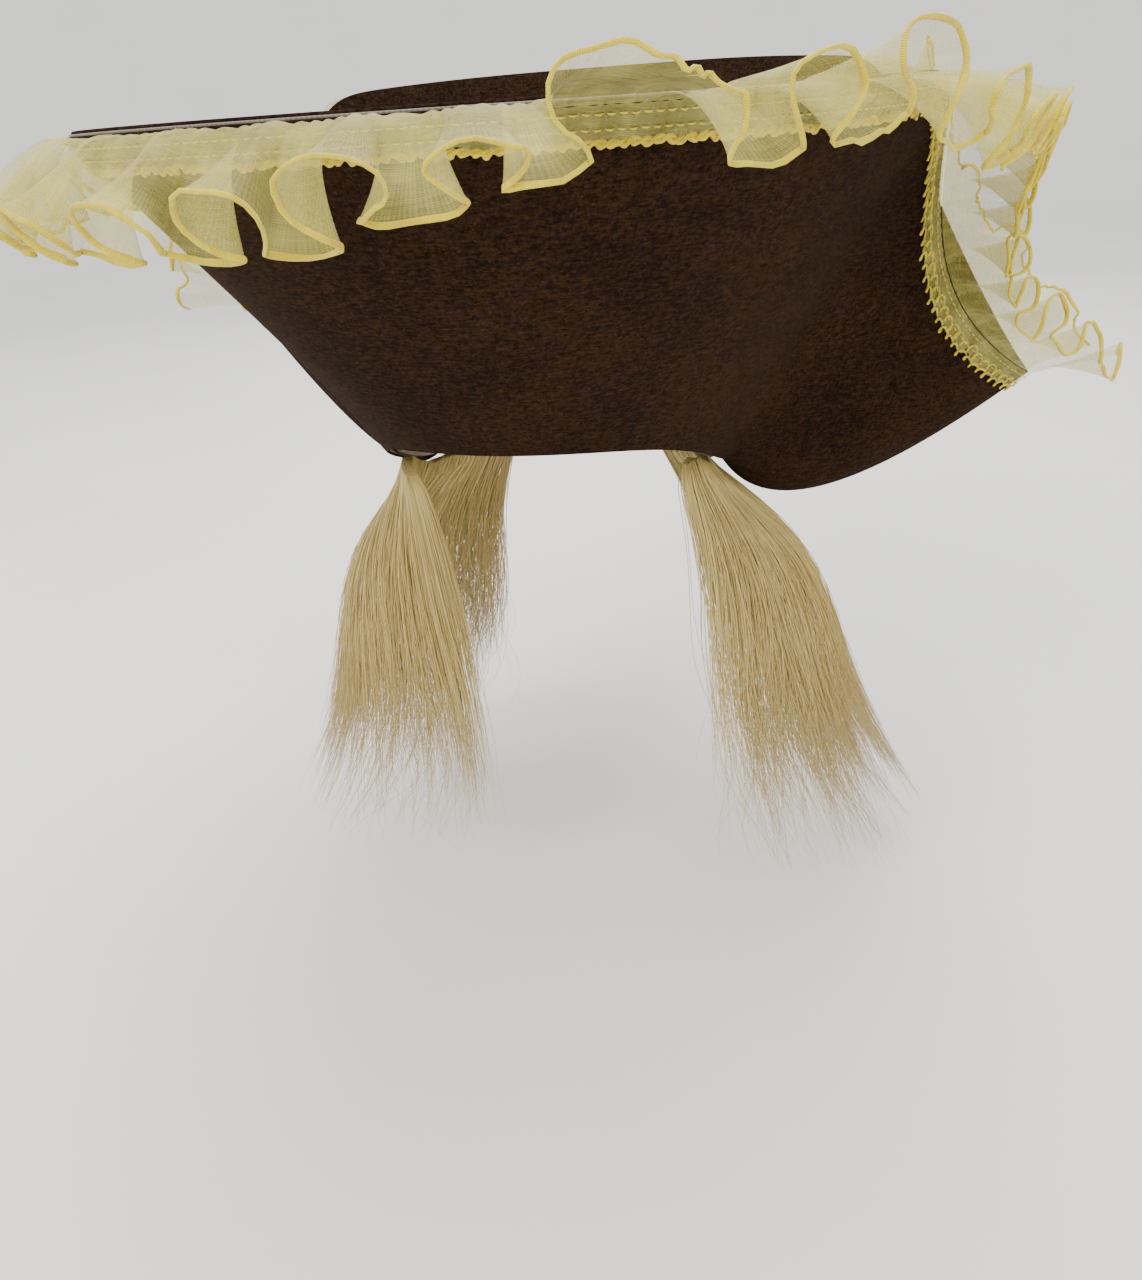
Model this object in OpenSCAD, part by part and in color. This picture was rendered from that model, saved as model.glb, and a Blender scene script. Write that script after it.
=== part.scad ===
// Felt pirate hat with a turned-up three-cornered brim, a gathered organza
// trim along the brim's edge and locks of hair hanging inside the rim.
//
// Frame: the origin is the centre of the head opening, +Z is up, the wide
// front wall faces -Y.  An azimuth t is 0 at the front, positive towards +X
// and 180 at the back.

/* [Head opening] */
// Width of the brim's opening, side to side
head_w = 162; // [140:1:200]
// Depth of the brim's opening, front to back
head_d = 194; // [170:1:236]
// How far the rim dips over the ears
rim_side_dip = 30; // [0:1:45]
// How far the rim dips at the back of the head
rim_back_dip = 14; // [0:1:30]
// Azimuth where the rim is lowest
rim_dip_azimuth = 107; // [80:1:125]
// Angle over which the side dip fades
rim_dip_spread = 45; // [25:1:60]

/* [Crown] */
// Height of the crown's top seam above the opening
crown_h = 106; // [85:1:140]
// How much each side of the crown leans in
crown_taper = 5; // [0:0.5:20]
// Rise of the domed crown top
crown_dome = 8; // [0:0.5:20]
// Thickness of the crown felt
crown_felt = 2; // [1:0.1:4]
// Thickness of the lining
lining_t = 0.5; // [0.3:0.1:1]
// Height of the sweatband
sweatband_h = 30; // [15:1:45]
// Thickness of the sweatband
sweatband_t = 1.1; // [0.6:0.1:2]

/* [Brim] */
// Distance from the centre to the top edge at the front and back
wall_reach = 198; // [160:1:240]
// How much nearer the top edge is at the sides
side_narrowing = 21; // [0:1:45]
// Height of the top edge at the front
wall_h = 129; // [90:1:165]
// Extra height of the back walls
back_rise = 22; // [0:1:40]
// Thickness of the outer felt
outer_felt = 1.6; // [1:0.1:2.4]
// Thickness of the woven stiffener
stiffener_t = 0.6; // [0.4:0.1:1]
// Thickness of the inner felt
inner_felt = 1.6; // [1:0.1:2.4]

/* [Brim corners] */
// Azimuth of the right corner
right_azimuth = 106; // [95:1:125]
// Azimuth of the left corner
left_azimuth = 112; // [95:1:125]
// Extra reach of the right corner's point
right_reach = 70; // [20:1:90]
// Extra reach of the left corner's point
left_reach = 34; // [20:1:90]
// How far the right corner drops below the walls
right_drop = 144; // [60:1:170]
// How far the left corner drops below the walls
left_drop = 104; // [60:1:170]
// Extra reach of the soft back corner
back_reach = 20; // [0:1:45]
// How far the brim bellies down under the right corner
right_belly = 66; // [20:1:95]
// How far the brim bellies down under the left corner
left_belly = 52; // [20:1:95]
// How far the brim bellies down under the back corner
back_belly = 23; // [0:1:60]
// Outward flare of the front wall left of the centre
left_flare = 14; // [0:1:30]

/* [Trim] */
// Width of the flat header sewn to the felt
header_w = 12; // [8:1:24]
// Length of the free ruffle
ruffle_l = 42; // [25:1:60]
// Number of flutes round the whole brim
ruffle_flutes = 30; // [12:1:40]
// Thickness of the overlocked edge
edging_t = 2.2; // [1.2:0.1:4]
// Width of the looped braid below the header
braid_w = 3.4; // [2:0.1:6]

/* [Hair] */
// Length of the hair below the rim
hair_l = 250; // [120:1:320]
// Thickness of a lock at its root
hair_root_t = 5.5; // [3:0.5:9]
// Thickness of a lock at its fullest
hair_full_t = 16; // [8:1:24]
// How far the right locks spread outward by their tips
right_spread = 158; // [20:1:180]
// How far the left locks spread outward by their tips
left_spread = 160; // [20:1:180]
// Share of the spread that is reached close under the brim
hair_bulge = 0.38; // [0:0.05:0.6]
// How far the hair beside the face turns in by its tips
hair_tuck = 30; // [0:1:45]

/* [Hidden] */

// Clearances
layer_gap = 0.3;
band_gap = 0.5;
seam_rise = 7;
top_gap = 0.2;
trim_gap = 0.15;
root_gap = 2;
stitch_lift = 1.3;
ruffle_seam_t = 2.8;
ruffle_hang = 18;

// Colours
felt_brown = "#2f2018";
lining_black = "#1b1916";
stiffener_grey = "#6b665c";
organza_yellow = "#d8d2a0";
gold = "#d9b73a";
hair_blonde = "#b89f74";

// The brim layers lie inward of the face that shows, one under the other
outer_face = 0;
stiffener_face = outer_face - outer_felt - layer_gap;
inner_face = stiffener_face - stiffener_t - layer_gap;
brim_t = outer_felt + stiffener_t + inner_felt + 2 * layer_gap;
brim_root = brim_t - 0.2;

// Radial places inside the crown, measured from the edge of the opening
lining_face = 0;
crown_face = lining_face + lining_t + 0.3;
sweatband_face = -band_gap - sweatband_t;
weft_t = 1.2;
weft_top = 11;
weft_face = sweatband_face - 0.3 - weft_t;
hair_root = -2 - hair_root_t / 2;
hair_front = 48;
hair_front_spread = 32;

// Spreads of the corners, in degrees
corner_front_spread = 15;
corner_back_spread = 9;
point_spread = 8;
back_spread = 25;
belly_spread = 16;
flare_azimuth = -32;
flare_spread = 27;

// Stations round the brim and rows up it
turn_step = 3;
brim_rows = 5;
crown_step = 7.5;
all_round = [for (t = [-180 : turn_step : 180 - turn_step]) t];
crown_round = [for (t = [-180 : crown_step : 180 - crown_step]) t];
front_run = [for (t = [-111 : turn_step : 105]) t];
right_run = concat([106.5], [for (t = [108 : turn_step : 177]) t], [179.6]);
left_run = concat([-179.6], [for (t = [-177 : turn_step : -114]) t], [-112.5]);

// --- Shape of the rim and the brim ------------------------------------

function turned(a) = a - 360 * round(a / 360);
function bump(t, centre, spread) = exp(-pow(turned(t - centre) / spread, 2));
function out(t) = [sin(t), -cos(t), 0];
function unit(v) = v / norm(v);

// A corner fades slowly into the front wall and quickly into a back wall
function corner(t, centre) =
    let (a = turned(t - centre) * sign(centre))
    exp(-pow(a / (a < 0 ? corner_front_spread : corner_back_spread), 2));

function rim_z(t) =
    -rim_side_dip * (bump(t, rim_dip_azimuth, rim_dip_spread)
                     + bump(t, -rim_dip_azimuth, rim_dip_spread))
    - rim_back_dip * (1 - cos(t)) / 2;

// A point beside the opening's edge, off to the outside by a distance
function beside(t, off, z) =
    [(head_w / 2 + off) * sin(t), -(head_d / 2 + off) * cos(t), z];

function root_at(t) = beside(t, brim_root, rim_z(t));

function edge_reach(t) =
    wall_reach - side_narrowing * pow(sin(t), 2)
    + left_flare * bump(t, flare_azimuth, flare_spread)
    + right_reach * bump(t, right_azimuth, point_spread)
    + left_reach * bump(t, -left_azimuth, point_spread)
    + back_reach * bump(t, 180, back_spread);

function edge_z(t) =
    wall_h + back_rise * pow((1 - cos(t)) / 2, 2)
    - right_drop * corner(t, right_azimuth)
    - left_drop * corner(t, -left_azimuth);

function edge_at(t) = edge_reach(t) * out(t) + [0, 0, edge_z(t)];

function belly(t) =
    right_belly * bump(t, right_azimuth, belly_spread)
    + left_belly * bump(t, -left_azimuth, belly_spread)
    + back_belly * bump(t, 180, belly_spread);

// The sag lies near the root at the side corners and half way up elsewhere
function sag_place(t) =
    0.45 - 0.24 * (bump(t, right_azimuth, belly_spread)
                   + bump(t, -left_azimuth, belly_spread));

function middle_at(t) =
    root_at(t) + sag_place(t) * (edge_at(t) - root_at(t)) - [0, 0, belly(t)];

// The face of the brim that shows: a curve from the root (s = 0), past the
// sagging middle, to the edge (s = 1)
function face_at(t, s) =
    pow(1 - s, 2) * root_at(t) + 2 * s * (1 - s) * middle_at(t)
    + s * s * edge_at(t);

function around_at(t, s) = unit(face_at(t + 0.5, s) - face_at(t - 0.5, s));
function up_at(t, s) = unit(face_at(t, s + 0.01) - face_at(t, s - 0.01));
function normal_at(t, s) = unit(cross(around_at(t, s), up_at(t, s)));
function brim_at(t, s, off) = face_at(t, s) + off * normal_at(t, s);

// Share of the way up the brim at a distance below its edge
function below_edge(t, distance) =
    1 - distance / (2 * norm(edge_at(t) - middle_at(t)));

// --- Builders ----------------------------------------------------------

// Two faces for each pair of edges that look at each other across a loop
function cap(first, points, flip) =
    [for (i = [0 : points / 2 - 2])
        let (a = first + i, b = a + 1,
             c = first + points - 2 - i, d = c + 1)
        each flip ? [[a, c, b], [a, d, c]] : [[a, b, c], [a, c, d]]];

// A solid swept through cross-sections with equal, even numbers of points.
// Both sides split their four-cornered facets the same way, so that layers
// lying on each other stay parallel where the brim twists.
module sweep(sections, closed = false) {
    count = len(sections);
    points = len(sections[0]);
    last = closed ? count - 1 : count - 2;
    walls = [for (k = [0 : last], i = [0 : points - 1])
        let (a = k * points + i,
             b = k * points + (i + 1) % points,
             c = ((k + 1) % count) * points + (i + 1) % points,
             d = ((k + 1) % count) * points + i)
        each i < points / 2 ? [[a, c, b], [a, d, c]] : [[a, d, b], [b, d, c]]];
    caps = closed ? [] : concat(cap(0, points, false),
                                cap((count - 1) * points, points, true));
    polyhedron([for (s = sections, p = s) p], concat(walls, caps), 4);
}

// One felt or buckram layer of the brim
module brim_layer(face, thickness) {
    sweep([for (t = all_round) concat(
        [for (j = [0 : brim_rows]) brim_at(t, j / brim_rows, face - thickness)],
        [for (j = [brim_rows : -1 : 0]) brim_at(t, j / brim_rows, face)])],
        closed = true);
}

// A band standing in or on the crown between two heights above the rim
module crown_band(face, thickness, low, high, stations, rows, taper = 0) {
    lean = function (j) -taper * j / rows;
    level = function (t, j) rim_z(t) + low + (high(t) - rim_z(t) - low) * j / rows;
    sweep([for (t = stations) concat(
        [for (j = [0 : rows]) beside(t, face + lean(j), level(t, j))],
        [for (j = [rows : -1 : 0])
            beside(t, face + thickness + lean(j), level(t, j))])],
        closed = true);
}

// A domed oval disc, given its rim offset, underside height and thickness
module domed_disc(off, z, thickness) {
    rings = [1, 0.8, 0.6, 0.4, 0.2, 0.02];
    ring = function (f, lift) [for (t = crown_round)
        let (p = f * beside(t, off, 0))
        [p.x, p.y, z + lift + crown_dome * (1 - f * f)]];
    sweep(concat([for (i = [5 : -1 : 0]) ring(rings[i], 0)],
                 [for (i = [0 : 5]) ring(rings[i], thickness)]));
}

// A flat strip sewn to the face of the brim, between two distances
// below the edge
module face_strip(run, near, far, lift, thickness) {
    sweep([for (t = run)
        let (a = below_edge(t, near), b = below_edge(t, far))
        [brim_at(t, b, lift), brim_at(t, a, lift),
         brim_at(t, a, lift + thickness), brim_at(t, b, lift + thickness)]]);
}

// How far the ruffle turns down over the face.  It hangs on the left and back
// walls, stands out on the right half of the front wall, fans out beside the
// right corner and stands up in line with the felt beside the left corner.
function plateau(t, centre, spread) = exp(-pow(turned(t - centre) / spread, 4));
function droop(t) =
    ruffle_hang
    - 44 * plateau(t, 34, 33)
    - 48 * plateau(t, right_azimuth - 18, 19)
    - 60 * plateau(t, right_azimuth + 8, 10)
    - 100 * plateau(t, 10 - left_azimuth, 20);

function ruffle_way(t, angle) =
    cos(angle) * normal_at(t, 0.97) - sin(angle) * up_at(t, 0.97);

function ruffle_reach(t) = ruffle_l * (1 + 0.08 * cos(ruffle_flutes * t));
function ruffle_seam(t) = face_at(t, 1) + 4 * normal_at(t, 0.97) + up_at(t, 0.97);

// A wedge that holds the ruffle's flutes
module ruffle(run) {
    sweep([for (t = run)
        let (b = ruffle_seam(t), r = ruffle_reach(t), d = droop(t),
             half = function (side)
                 [b + ruffle_seam_t / 2 * ruffle_way(t, d + 90 * side),
                  b + 0.5 * r * ruffle_way(t, d + 16 * side),
                  b + r * ruffle_way(t, d + 14 * side)],
             low = half(1), high = half(-1))
        [high[0], high[1], high[2], low[2], low[1], low[0]]]);
}

module edging(run) {
    h = edging_t / 2;
    sweep([for (t = run)
        let (w = ruffle_way(t, droop(t)), v = ruffle_way(t, droop(t) + 90),
             c = ruffle_seam(t) + (ruffle_reach(t) + 0.4 + h) * w)
        [c - h * w - h * v, c + h * w - h * v, c + h * w + h * v,
         c - h * w + h * v]]);
}

// A row of stitches laid along the brim's face
module stitch_row(distance, pitch_angle, lift) {
    for (t = [-180 : pitch_angle : 180 - pitch_angle]) {
        s = below_edge(t, distance);
        p = brim_at(t, s, lift);
        a = around_at(t, s);
        n = normal_at(t, s);
        b = cross(n, a);
        multmatrix([[a.x, b.x, n.x, p.x], [a.y, b.y, n.y, p.y],
                    [a.z, b.z, n.z, p.z]])
            translate([-2, -0.3, 0]) cube([4, 0.6, 0.35]);
    }
}

// A tape sewn to the sweatband, leaning in with it
module weft(from, to) {
    lean = crown_taper * weft_top / (crown_h - sweatband_h);
    sweep([for (t = [from : 5 : to])
        [beside(t, weft_face, rim_z(t) + 1.5),
         beside(t, weft_face - lean, rim_z(t) + weft_top),
         beside(t, weft_face + weft_t - lean, rim_z(t) + weft_top),
         beside(t, weft_face + weft_t, rim_z(t) + 1.5)]]);
}

// How far the hair stands outside its root at a share f of its length.  It
// turns in beside the face.  Behind the ears it bulges under the brim and
// spreads to its tips.
function hair_growth(f) =
    hair_bulge * (1 - exp(-pow(f / 0.16, 1.5))) + (1 - hair_bulge) * pow(f, 2);

function hair_spread(t, f) =
    let (beside_face = bump(abs(t), hair_front, hair_front_spread))
    (t > 0 ? right_spread : left_spread) * hair_growth(f)
    * (1 - beside_face) * (1 - 0.4 * bump(abs(t), 150, 25))
    - hair_tuck * beside_face * pow(f, 0.8);

// A lock of hair hanging under the rim between two azimuths.  It fills out
// half way down and narrows a little to its tip.
module lock(from, to) {
    mid = (from + to) / 2;
    half = (to - from) / 2;
    top = rim_z(mid) - root_gap;
    arc = [-1, -0.6, -0.2, 0.2, 0.6, 1];
    level = function (f) let (
        wide = half * (1 - 0.06 * f),
        thick = hair_root_t + (hair_full_t - hair_root_t) * sin(180 * pow(f, 0.7)) + 2 * f,
        side = function (a, off) let (t = mid + a * wide)
            beside(t, hair_root + hair_spread(t, f) + off, lock_top(t, top) - f * hair_l))
        concat([for (a = arc) side(a, -thick / 2)],
               [for (i = [5 : -1 : 0]) side(arc[i], thick / 2)]);
    sweep([for (f = [0, 0.03, 0.07, 0.11, 0.16, 0.25, 0.38, 0.5, 0.65, 0.8, 0.92, 1]) level(f)]);
}

// The top of a lock follows the rim but never rises above its middle
function lock_top(t, top) = min(top, rim_z(t) - root_gap);

// --- Sub-parts ---------------------------------------------------------

module crown_top() {
    color(felt_brown)
        domed_disc(crown_face + crown_felt - crown_taper, crown_h + top_gap, crown_felt);
}

module crown_side() {
    color(felt_brown)
        crown_band(crown_face, crown_felt, seam_rise, function (t) crown_h,
                   crown_round, 6, crown_taper);
}

module crown_top_stitches() {
    drop = 3;
    off = crown_face + crown_felt - crown_taper * (1 - drop / crown_h) + 0.25;
    color(gold)
        for (t = [-180 : 6 : 174]) {
            p = beside(t, off, crown_h - drop);
            turn = atan2((head_d / 2 + off) * sin(t), (head_w / 2 + off) * cos(t));
            translate(p) rotate(turn) translate([-2, -0.2, -0.3]) cube([4, 0.35, 0.6]);
        }
}

module lining_top() {
    color(lining_black)
        domed_disc(lining_face - crown_taper - 0.3, crown_h - 1.2, lining_t);
}

module lining_side() {
    color(lining_black)
        crown_band(lining_face, lining_t, seam_rise + 2, function (t) crown_h - 1.6,
                   crown_round, 4, crown_taper);
}

module sweatband() {
    color(lining_black)
        crown_band(sweatband_face, sweatband_t, 1,
                   function (t) rim_z(t) + 1 + sweatband_h, crown_round, 3,
                   crown_taper * sweatband_h / (crown_h - sweatband_h));
}

module brim_outer_felt() { color(felt_brown) brim_layer(outer_face, outer_felt); }
module brim_stiffener() { color(stiffener_grey) brim_layer(stiffener_face, stiffener_t); }
module brim_inner_felt() { color(felt_brown) brim_layer(inner_face, inner_felt); }

module header(run) { color(organza_yellow) face_strip(run, 0.2, header_w, trim_gap, 0.45); }
module braid(run) {
    color(gold) face_strip(run, header_w + 0.6, header_w + 0.6 + braid_w, trim_gap + 0.05, 1.6);
}

module header_front() { header(front_run); }
module header_right() { header(right_run); }
module header_left() { header(left_run); }

module braid_front() { braid(front_run); }
module braid_right() { braid(right_run); }
module braid_left() { braid(left_run); }

module header_top_stitches() { color(gold) stitch_row(3, 4, stitch_lift); }
module header_lower_stitches() { color(gold) stitch_row(header_w - 4, 4, stitch_lift); }

module ruffle_front() { color(organza_yellow) ruffle(front_run); }
module ruffle_right() { color(organza_yellow) ruffle(right_run); }
module ruffle_left() { color(organza_yellow) ruffle(left_run); }

module edging_front() { color(gold) edging(front_run); }
module edging_right() { color(gold) edging(right_run); }
module edging_left() { color(gold) edging(left_run); }

module weft_right() { color(hair_blonde) weft(50, 145); }
module weft_left() { color(hair_blonde) weft(-145, -50); }

module hair_right_front() { color(hair_blonde) lock(52, 95); }
module hair_right_rear() { color(hair_blonde) lock(98, 144); }
module hair_left_rear() { color(hair_blonde) lock(-144, -98); }
module hair_left_front() { color(hair_blonde) lock(-95, -52); }

crown_top();
crown_side();
crown_top_stitches();
lining_top();
lining_side();
sweatband();
brim_outer_felt();
brim_stiffener();
brim_inner_felt();
header_front();
header_right();
header_left();
braid_front();
braid_right();
braid_left();
header_top_stitches();
header_lower_stitches();
ruffle_front();
ruffle_right();
ruffle_left();
edging_front();
edging_right();
edging_left();
weft_right();
weft_left();
hair_right_front();
hair_right_rear();
hair_left_rear();
hair_left_front();
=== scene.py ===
"""Looks for a felt pirate hat: a turned-up brim in three felted layers, a soft
crown with its lining and sweatband, a gathered organza trim with an overlocked
edge, and four locks of straight hair that hang inside the rim.

Lengths are metres and angles are degrees.  An azimuth is 0 at the front of the
hat, grows towards +X and is 180 at the back.
"""

import logging
import math
from dataclasses import dataclass
from enum import Enum

import bpy
import numpy as np
from mathutils import Matrix, Vector


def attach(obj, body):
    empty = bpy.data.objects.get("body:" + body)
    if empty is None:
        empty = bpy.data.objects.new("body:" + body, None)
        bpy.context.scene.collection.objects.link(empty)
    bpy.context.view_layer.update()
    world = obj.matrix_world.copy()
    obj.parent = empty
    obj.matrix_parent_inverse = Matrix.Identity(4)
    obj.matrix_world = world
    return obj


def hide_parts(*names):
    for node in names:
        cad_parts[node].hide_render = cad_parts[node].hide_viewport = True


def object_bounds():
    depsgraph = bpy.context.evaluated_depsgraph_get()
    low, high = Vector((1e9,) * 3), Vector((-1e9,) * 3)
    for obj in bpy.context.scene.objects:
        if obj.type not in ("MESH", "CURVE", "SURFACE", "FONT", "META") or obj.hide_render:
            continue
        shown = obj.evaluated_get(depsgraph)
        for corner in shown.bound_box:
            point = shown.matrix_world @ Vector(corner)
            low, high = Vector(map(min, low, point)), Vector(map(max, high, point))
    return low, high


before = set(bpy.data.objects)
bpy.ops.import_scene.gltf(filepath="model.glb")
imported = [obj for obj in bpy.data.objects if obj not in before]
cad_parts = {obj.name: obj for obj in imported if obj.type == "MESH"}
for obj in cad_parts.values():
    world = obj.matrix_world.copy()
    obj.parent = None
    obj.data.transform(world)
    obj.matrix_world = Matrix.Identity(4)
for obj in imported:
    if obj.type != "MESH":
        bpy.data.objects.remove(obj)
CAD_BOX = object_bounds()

log = logging.getLogger("pirate_hat")
MM = 0.001
HAT = "hat"


# --- Numbers ---------------------------------------------------------------


def turned(angle: np.ndarray) -> np.ndarray:
    """Angles brought to the half turn on either side of zero."""
    return angle - 360 * np.round(angle / 360)


def bump(angle: np.ndarray, centre: float, spread: float, power: float = 2) -> np.ndarray:
    """A bell of height 1 round a centre: exp of minus the distance over spread, to a power."""
    return np.exp(-np.abs(turned(angle - centre) / spread) ** power)


def unit(vectors: np.ndarray) -> np.ndarray:
    """Vectors made 1 long."""
    return vectors / np.maximum(np.linalg.norm(vectors, axis=-1, keepdims=True), 1e-12)


def rounded(share: np.ndarray) -> np.ndarray:
    """A quarter of a circle: 1 at share 0, falling to 0 at share 1."""
    return np.sqrt(np.clip(1 - np.clip(share, 0, 1) ** 2, 0, 1))


def drift(place: np.ndarray, length: float, seed: int, waves: int = 5) -> np.ndarray:
    """Smooth uneven variation along a line, about -1 to 1.

    It is a sum of sines whose wavelengths lie between 0.6 and 1.9 of a length
    and whose phases come from a seed.

    Args:
        place: Distances along the line.
        length: The middle wavelength, in the same unit.
        seed: Chooses the phases.
        waves: How many sines are added.

    Returns:
        One value for each place.
    """
    rng = np.random.default_rng(seed)
    size = length * np.linspace(0.6, 1.9, waves)
    phase = rng.uniform(0, 2 * np.pi, waves)
    return np.sin(2 * np.pi * np.asarray(place)[..., None] / size + phase).sum(-1) / waves**0.5


def smooth_along(values: np.ndarray, width: int) -> np.ndarray:
    """Values averaged along their first axis with a bell that is width rows wide."""
    reach = 2 * width
    bell = np.exp(-((np.arange(-reach, reach + 1) / width) ** 2))
    padded = np.concatenate([values[:1].repeat(reach, 0), values, values[-1:].repeat(reach, 0)])
    flat = padded.reshape(len(padded), -1)
    mean = np.stack([np.convolve(c, bell / bell.sum(), mode="valid") for c in flat.T], -1)
    return mean.reshape(values.shape)


# --- The form of the hat ---------------------------------------------------


@dataclass(frozen=True)
class HatForm:
    """The rim, the brim's face and the crown as formulas of azimuth.

    The brim's face is a curve at each azimuth from its root at the rim (share
    0), past a sagging middle, to its edge (share 1).
    """

    opening_width: float = 0.162
    opening_depth: float = 0.194
    side_dip: float = 0.030
    back_dip: float = 0.014
    dip_azimuth: float = 107
    dip_spread: float = 45
    reach: float = 0.198
    side_narrowing: float = 0.021
    wall_height: float = 0.129
    back_rise: float = 0.022
    right_azimuth: float = 106
    left_azimuth: float = -112
    right_reach: float = 0.070
    left_reach: float = 0.034
    right_drop: float = 0.144
    left_drop: float = 0.104
    back_reach: float = 0.020
    right_belly: float = 0.066
    left_belly: float = 0.052
    back_belly: float = 0.023
    belly_spread: float = 16
    sag_place: float = 0.45
    sag_shift: float = 0.24
    corner_front: float = 15.0
    corner_back: float = 9.0
    point_spread: float = 8
    back_spread: float = 25
    left_flare: float = 0.014
    flare_azimuth: float = -32
    flare_spread: float = 27
    root_out: float = 0.0042

    def corner(self, azimuth: np.ndarray, at: float) -> np.ndarray:
        """A bell that is wide towards the front wall and narrow behind the corner."""
        away = turned(azimuth - at) * np.sign(at)
        return np.exp(-((away / np.where(away < 0, self.corner_front, self.corner_back)) ** 2))

    def rim_height(self, azimuth: np.ndarray) -> np.ndarray:
        """Height of the opening's edge: level at the front, low at the ears and the nape."""
        ears = bump(azimuth, self.dip_azimuth, self.dip_spread)
        ears = ears + bump(azimuth, -self.dip_azimuth, self.dip_spread)
        return -self.side_dip * ears - self.back_dip * (1 - np.cos(np.radians(azimuth))) / 2

    def beside(self, azimuth: np.ndarray, off: np.ndarray, height: np.ndarray) -> np.ndarray:
        """Points a distance outside the oval opening, at a height.

        Args:
            azimuth: Azimuths of the points.
            off: How far outside the opening's edge.
            height: Their heights.

        Returns:
            The points, with x, y and z in the last axis.
        """
        turn = np.radians(azimuth)
        x = (self.opening_width / 2 + off) * np.sin(turn)
        y = -(self.opening_depth / 2 + off) * np.cos(turn)
        return np.stack(np.broadcast_arrays(x, y, height), -1)

    def edge(self, azimuth: np.ndarray) -> np.ndarray:
        """Points of the brim's edge: far out and high on the walls, low at the corners."""
        turn = np.radians(azimuth)
        out = self.reach - self.side_narrowing * np.sin(turn) ** 2
        out = out + self.left_flare * bump(azimuth, self.flare_azimuth, self.flare_spread)
        out = out + self.right_reach * bump(azimuth, self.right_azimuth, self.point_spread)
        out = out + self.left_reach * bump(azimuth, self.left_azimuth, self.point_spread)
        out = out + self.back_reach * bump(azimuth, 180, self.back_spread)
        height = self.wall_height + self.back_rise * ((1 - np.cos(turn)) / 2) ** 2
        height = height - self.right_drop * self.corner(azimuth, self.right_azimuth)
        height = height - self.left_drop * self.corner(azimuth, self.left_azimuth)
        return np.stack([out * np.sin(turn), -out * np.cos(turn), height], -1)

    def root(self, azimuth: np.ndarray) -> np.ndarray:
        """Points where the brim's face starts, at the rim."""
        return self.beside(azimuth, self.root_out, self.rim_height(azimuth))

    def middle(self, azimuth: np.ndarray) -> np.ndarray:
        """The control points between root and edge.

        They lie a share, sag_place, of the way to the edge, nearer the root at
        the side corners, and sag under the side corners and the back.

        Args:
            azimuth: Azimuths of the points.

        Returns:
            The points, with x, y and z in the last axis.
        """
        root = self.root(azimuth)
        right = bump(azimuth, self.right_azimuth, self.belly_spread)
        left = bump(azimuth, self.left_azimuth, self.belly_spread)
        place = self.sag_place - self.sag_shift * (right + left)
        point = root + place[..., None] * (self.edge(azimuth) - root)
        back = self.back_belly * bump(azimuth, 180, self.belly_spread)
        point[..., 2] -= self.right_belly * right + self.left_belly * left + back
        return point

    def face(self, azimuth: np.ndarray, share: np.ndarray) -> np.ndarray:
        """Points of the face: the quadratic curve through root, middle and edge.

        Args:
            azimuth: Azimuths of the points.
            share: How far up the brim, from 0 at the root to 1 at the edge.

        Returns:
            The points, with x, y and z in the last axis.
        """
        s = np.asarray(share)[..., None]
        ends = (1 - s) ** 2 * self.root(azimuth) + s * s * self.edge(azimuth)
        return ends + 2 * s * (1 - s) * self.middle(azimuth)

    def directions(self, azimuth: np.ndarray, share: np.ndarray) -> tuple[np.ndarray, ...]:
        """Unit vectors along the brim, up it, and out of its face.

        Args:
            azimuth: Azimuths of the points.
            share: How far up the brim.

        Returns:
            The vectors around, up and outward.
        """
        around = unit(self.face(azimuth + 0.5, share) - self.face(azimuth - 0.5, share))
        up = unit(self.face(azimuth, share + 0.01) - self.face(azimuth, share - 0.01))
        return around, up, unit(np.cross(around, up))

    def off_face(self, azimuth: np.ndarray, share: np.ndarray, off: np.ndarray) -> np.ndarray:
        """Points a distance outside the brim's face.

        Args:
            azimuth: Azimuths of the points.
            share: How far up the brim.
            off: How far outside the face, or inside it if it is negative.

        Returns:
            The points, with x, y and z in the last axis.
        """
        lift = np.broadcast_to(off, np.broadcast(azimuth, share).shape)[..., None]
        return self.face(azimuth, share) + lift * self.directions(azimuth, share)[2]

    def share_below(self, azimuth: np.ndarray, distance: np.ndarray) -> np.ndarray:
        """How far up the brim a point lies that is a distance below the edge."""
        length = np.linalg.norm(self.edge(azimuth) - self.middle(azimuth), axis=-1)
        return 1 - distance / (2 * length)

    def evenly(self, first: float, last: float, step: float) -> tuple[np.ndarray, np.ndarray]:
        """Stations that are evenly spaced along the brim's edge.

        Args:
            first: Azimuth of the first station.
            last: Azimuth of the last station.
            step: Distance between stations.

        Returns:
            The stations' azimuths and their distances from the first.
        """
        fine = np.linspace(first, last, int((last - first) * 8) + 2)
        hops = np.linalg.norm(np.diff(self.edge(fine), axis=0), axis=1)
        run = np.concatenate([[0], np.cumsum(hops)])
        place = np.linspace(0, run[-1], int(run[-1] / step) + 2)
        return np.interp(place, run, fine), place


# --- Meshes ----------------------------------------------------------------


def grid_faces(rows: int, columns: int, ring: bool, wrap: bool) -> np.ndarray:
    """Corner indices of the quads of a grid of rows by columns points.

    Args:
        rows: Points along the first axis.
        columns: Points along the second axis.
        ring: Whether the last row meets the first.
        wrap: Whether the last column meets the first.

    Returns:
        An array of four corners for each quad.
    """
    i = np.arange(rows if ring else rows - 1)[:, None]
    j = np.arange(columns if wrap else columns - 1)[None]
    down, right = (i + 1) % rows, (j + 1) % columns
    corners = [i * columns + j, down * columns + j, down * columns + right, i * columns + right]
    return np.stack(np.broadcast_arrays(*corners), -1).reshape(-1, 4)


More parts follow.
